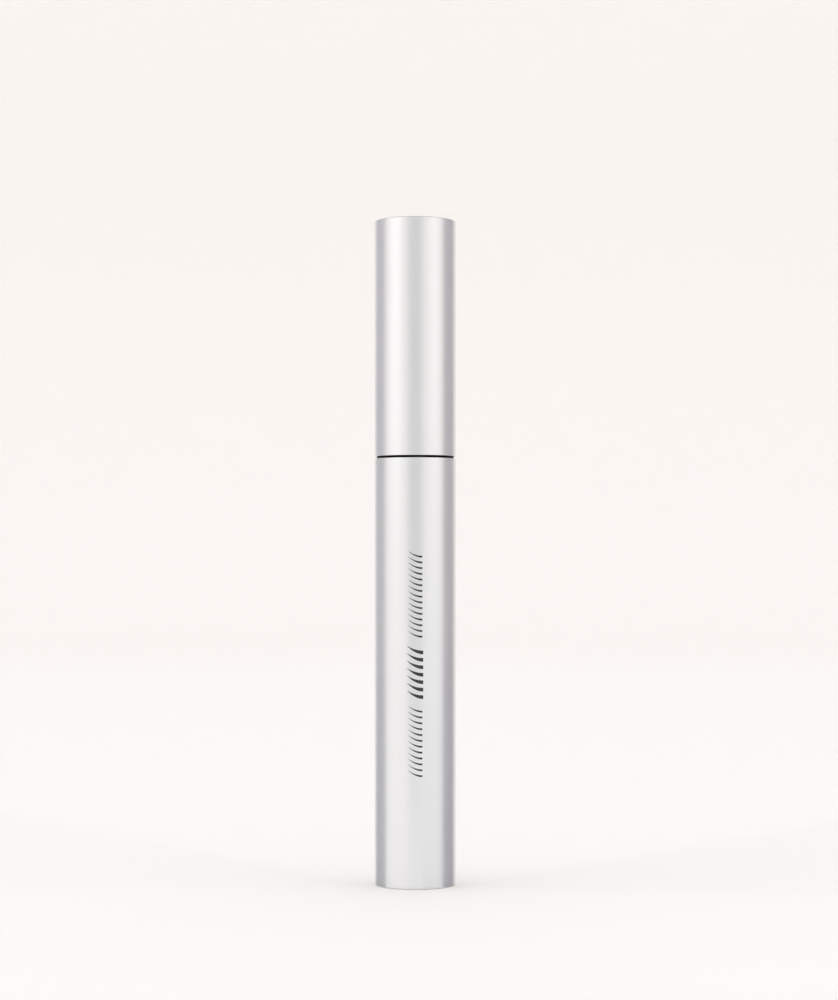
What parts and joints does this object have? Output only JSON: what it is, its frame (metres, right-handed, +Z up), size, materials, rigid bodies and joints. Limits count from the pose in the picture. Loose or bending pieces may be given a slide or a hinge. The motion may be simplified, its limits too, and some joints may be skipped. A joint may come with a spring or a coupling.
{
  "type": "mascara tube",
  "caption": "Slim cylindrical mascara tube with a satin aluminium body and a screw cap that carries the wand and brush.",
  "frame": {"origin": "centre of the base, in the plane of the ring that the tube stands on", "axes": "+Z up the tube's axis to the cap, -Y towards the printed front"},
  "size_m": [0.016, 0.016, 0.1305],
  "materials": {
    "anodised_aluminium": "satin",
    "printed_ink": "satin",
    "black_abs": "satin",
    "black_polypropylene": "satin",
    "natural_polyethylene": "satin",
    "foam_polyethylene": "matte",
    "natural_polypropylene": "satin",
    "black_acetal": "gloss",
    "stainless_wire": "satin",
    "black_nylon": "satin",
    "zinc_plated_steel": "satin",
    "black_paste": "gloss",
    "label_film": "satin"
  },
  "bodies": {
    "bottle": {"body_shell": "anodised_aluminium", "base_label": "label_film", "inner_bottle": "black_polypropylene", "shoulder_collar": "black_abs", "wiper": "natural_polyethylene", "mascara_paste": "black_paste"},
    "washer": {"seal_washer": "foam_polyethylene"},
    "cap_carriage": {"cap_weight": "zinc_plated_steel"},
    "applicator": {"cap_shell": "anodised_aluminium", "inner_cap": "natural_polypropylene", "wand_stem": "black_acetal", "brush_wire": "stainless_wire", "brush_bristles": "black_nylon"}
  },
  "joints": [
    {"name": "wand_pull", "type": "slide", "parent": "bottle", "child": "washer", "axis": [0, 0, 1], "range_m": [0, 0.1], "deforming": ["wiper"]},
    {"name": "thread_rise", "type": "slide", "parent": "washer", "child": "cap_carriage", "axis": [0, 0, 1], "range_m": [0, 0.0046]},
    {"name": "cap_turn", "type": "hinge", "parent": "cap_carriage", "child": "applicator", "pos_m": [0, 0, 0.09], "axis": [0, 0, 1], "range_deg": [0, 540]}
  ],
  "couplings": [
    {"joint": "thread_rise", "follows": "cap_turn", "m_per_rad": 0.00047746}
  ]
}
